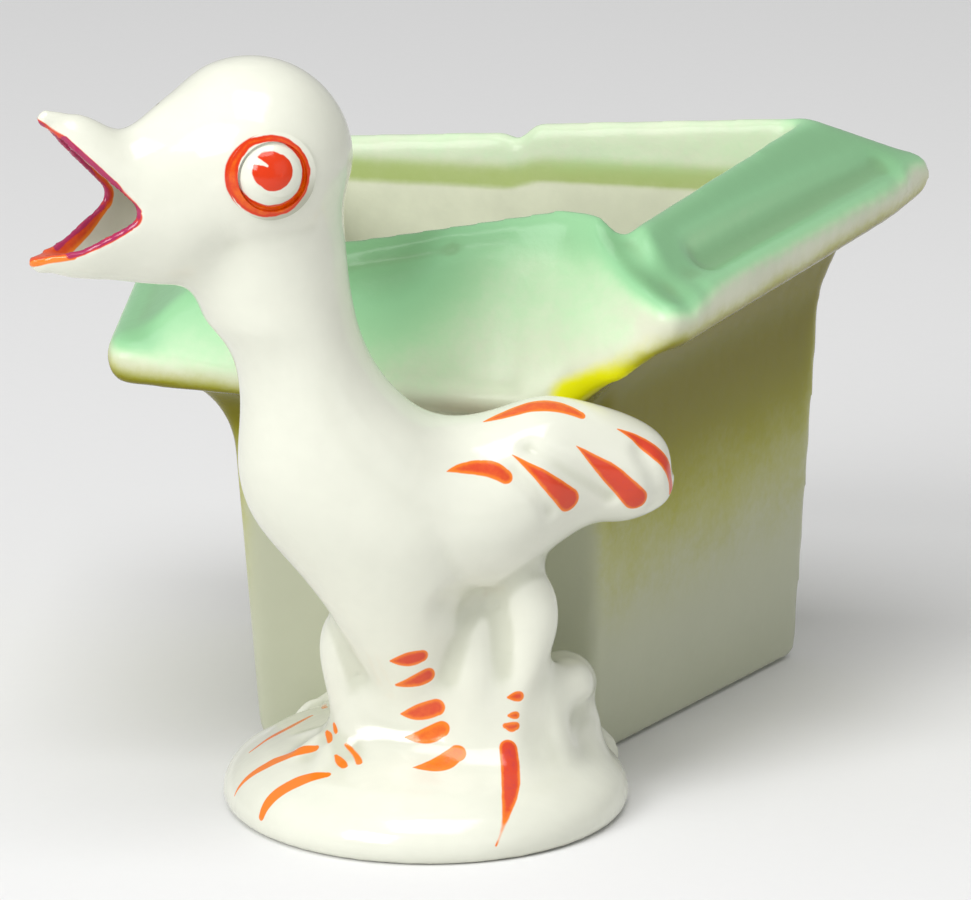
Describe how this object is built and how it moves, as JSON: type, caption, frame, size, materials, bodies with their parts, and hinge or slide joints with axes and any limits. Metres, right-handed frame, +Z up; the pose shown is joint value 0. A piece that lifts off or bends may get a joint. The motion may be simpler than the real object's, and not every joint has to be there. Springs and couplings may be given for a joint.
{
  "type": "toothpick dispenser",
  "caption": "Glazed earthenware toothpick holder: a gaping long-necked chick on a mound, luted to the front of a square flared pot.",
  "frame": {"origin": "middle of the pot's flat foot, on the table", "axes": "+Z up, -Y towards the side with the chick, +X along the pot's front wall towards the chick's tail"},
  "size_m": [0.0846, 0.1033, 0.0812],
  "materials": {
    "pot_glaze": "gloss",
    "figure_glaze": "gloss",
    "enamel": "gloss"
  },
  "bodies": {
    "root": {"pot": "pot_glaze", "mound": "figure_glaze", "luting": "figure_glaze", "chick": "figure_glaze", "left_leg": "figure_glaze", "right_leg": "figure_glaze", "left_eye": "figure_glaze", "right_eye": "figure_glaze", "left_eye_ring": "enamel", "right_eye_ring": "enamel", "left_pupil": "enamel", "right_pupil": "enamel"}
  },
  "joints": []
}
